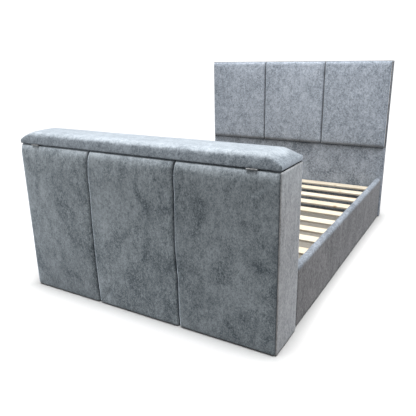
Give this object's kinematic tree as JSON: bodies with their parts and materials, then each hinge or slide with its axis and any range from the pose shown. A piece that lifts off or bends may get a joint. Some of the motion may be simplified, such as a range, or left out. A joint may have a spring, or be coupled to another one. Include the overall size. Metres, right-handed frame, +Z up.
{
  "type": "tv bed",
  "caption": "Upholstered double bed with a padded headboard, slatted base, and a tall cabinet foot that holds a rising television mount under a hinged padded lid.",
  "frame": {"origin": "on the floor, under the middle of the bed's outside box", "axes": "+X across the bed to the right as seen from the foot, +Y from the foot to the headboard, +Z up"},
  "size_m": [1.516, 2.1986, 1.21],
  "materials": {
    "chenille": "mottled blue grey chenille with a short nap",
    "timber_board": "unfinished board",
    "pine": "planed pale pine",
    "black_steel": "black powder coat",
    "zinc_steel": "zinc plated",
    "bright_steel": "bright rolled steel",
    "black_plastic": "fine texture"
  },
  "bodies": {
    "bed_frame": {"cabinet_front_board": "timber_board", "cabinet_back_board": "timber_board", "cabinet_base_board": "timber_board", "cabinet_side_board_left": "timber_board", "cabinet_side_board_right": "timber_board", "cabinet_side_cover_left": "chenille", "cabinet_side_cover_right": "chenille", "cabinet_inner_cover": "chenille", "foot_pad_left": "chenille", "foot_pad_middle": "chenille", "foot_pad_right": "chenille", "hinge_left_body_leaf": "bright_steel", "hinge_left_pin": "bright_steel", "hinge_right_body_leaf": "bright_steel", "hinge_right_pin": "bright_steel", "lift_base_plate": "black_steel", "lift_outer_column": "zinc_steel", "lift_motor_housing": "black_plastic", "lift_wall_strap": "black_steel", "control_box": "black_plastic", "mains_lead_gland": "black_plastic", "side_rail_board_left": "timber_board", "side_rail_board_right": "timber_board", "side_rail_cover_left": "chenille", "side_rail_cover_right": "chenille", "slat_ledger_left": "pine", "slat_ledger_right": "pine", "rail_bracket_foot_left": "zinc_steel", "rail_bracket_foot_right": "zinc_steel", "rail_bracket_head_left": "zinc_steel", "rail_bracket_head_right": "zinc_steel", "slat_01": "pine", "slat_02": "pine", "slat_03": "pine", "slat_04": "pine", "slat_05": "pine", "slat_06": "pine", "slat_07": "pine", "slat_08": "pine", "slat_09": "pine", "slat_10": "pine", "slat_11": "pine", "centre_rail": "pine", "centre_leg_1": "pine", "centre_leg_2": "pine", "headboard_board": "timber_board", "headboard_cover": "chenille", "headboard_lower_pad": "chenille", "headboard_pad_left": "chenille", "headboard_pad_middle": "chenille", "headboard_pad_right": "chenille"},
    "lift_middle": {"lift_middle_column": "zinc_steel"},
    "lift_inner": {"lift_inner_column": "zinc_steel", "tv_mount_crossbar": "black_steel", "tv_mount_arm_left": "black_steel", "tv_mount_arm_right": "black_steel"},
    "lid": {"lid_board": "timber_board", "lid_pad": "chenille", "hinge_left_lid_leaf": "bright_steel", "hinge_right_lid_leaf": "bright_steel"}
  },
  "joints": [
    {"name": "lift_middle_slide", "type": "slide", "parent": "bed_frame", "child": "lift_middle", "axis": [0, 0, 1], "range_m": [0, 0.3]},
    {"name": "lift_inner_slide", "type": "slide", "parent": "lift_middle", "child": "lift_inner", "axis": [0, 0, 1], "range_m": [0, 0.3]},
    {"name": "lid_hinge", "type": "hinge", "parent": "bed_frame", "child": "lid", "pos_m": [0, -1.0898, 0.8365], "axis": [1, 0, 0], "range_deg": [0, 110]}
  ],
  "couplings": [
    {"joint": "lift_inner_slide", "follows": "lift_middle_slide", "ratio": 1},
    {"joint": "lid_hinge", "follows": "lift_middle_slide", "rad_per_m": 6.399}
  ]
}
